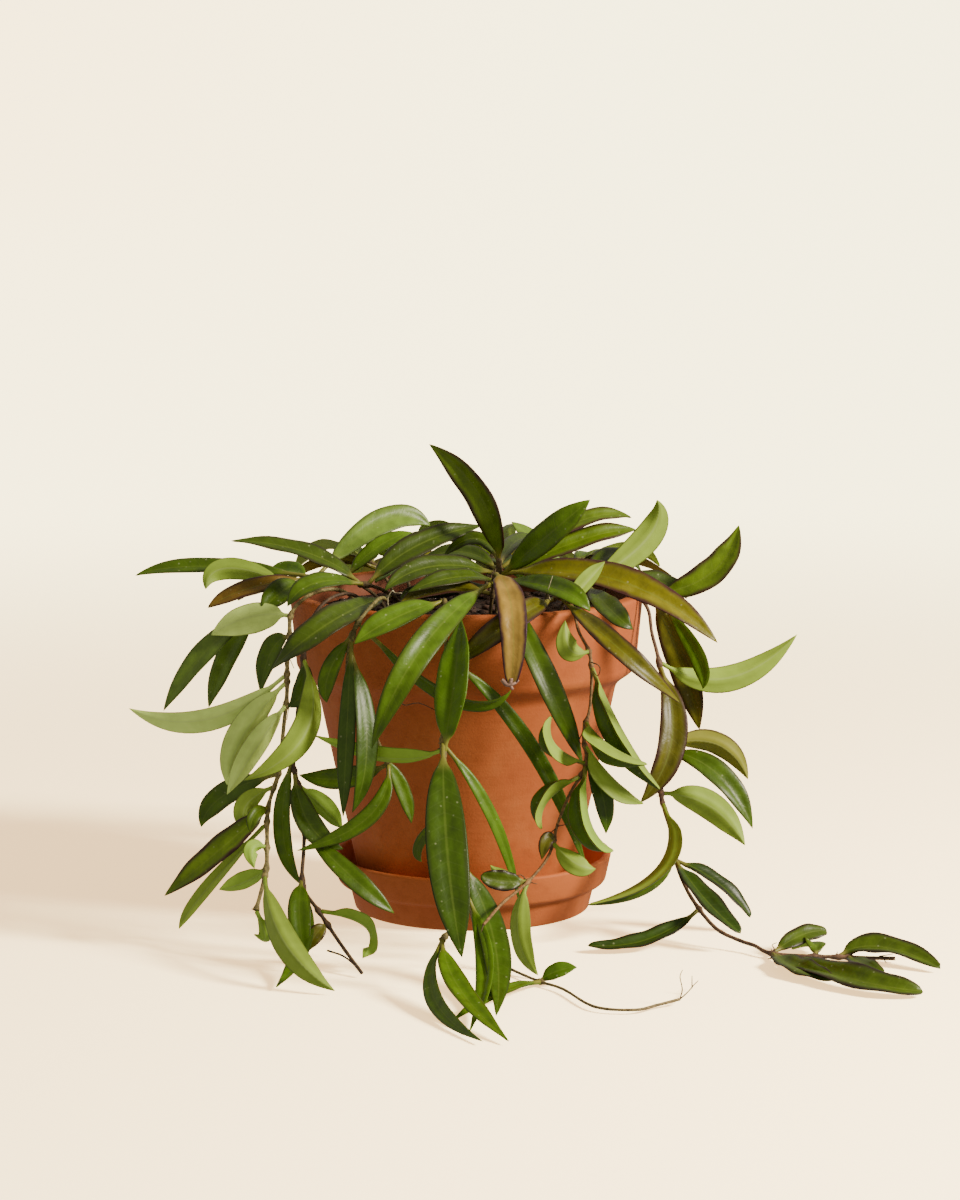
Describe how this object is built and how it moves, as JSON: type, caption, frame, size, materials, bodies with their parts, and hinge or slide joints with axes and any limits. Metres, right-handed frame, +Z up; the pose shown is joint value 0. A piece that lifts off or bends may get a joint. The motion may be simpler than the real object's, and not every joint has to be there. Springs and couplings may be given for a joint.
{
  "type": "potted hoya plant",
  "caption": "Trailing hoya with long narrow leaves in a tapered clay pot that stands on a clay saucer.",
  "frame": {"origin": "centre of the saucer's flat underside, on the surface that the pot and the trailing leaves rest on", "axes": "+Z is up; the side seen first looks along +Y, so that side faces -Y, with +X to the right"},
  "size_m": [0.35, 0.4196, 0.214],
  "materials": {
    "terracotta": "matte",
    "soil": "matte",
    "foliage": "satin",
    "stem_bark": "matte"
  },
  "bodies": {
    "root": {"saucer": "terracotta", "pot": "terracotta", "soil": "soil", "crown_stem": "foliage", "crown_front_stem": "foliage", "crown_right_stem": "foliage", "crown_left_stem": "foliage", "left_fan_stem": "foliage", "crown_back_stem": "foliage", "crown_back_left_stem": "foliage", "crown_back_right_stem": "foliage", "left_trailing_stem": "foliage", "left_inner_stem": "foliage", "left_front_stem": "foliage", "front_trailing_stem": "foliage", "right_front_stem": "foliage", "right_trailing_stem": "foliage", "back_left_trailing_stem": "foliage", "back_right_trailing_stem": "foliage"}
  },
  "joints": []
}
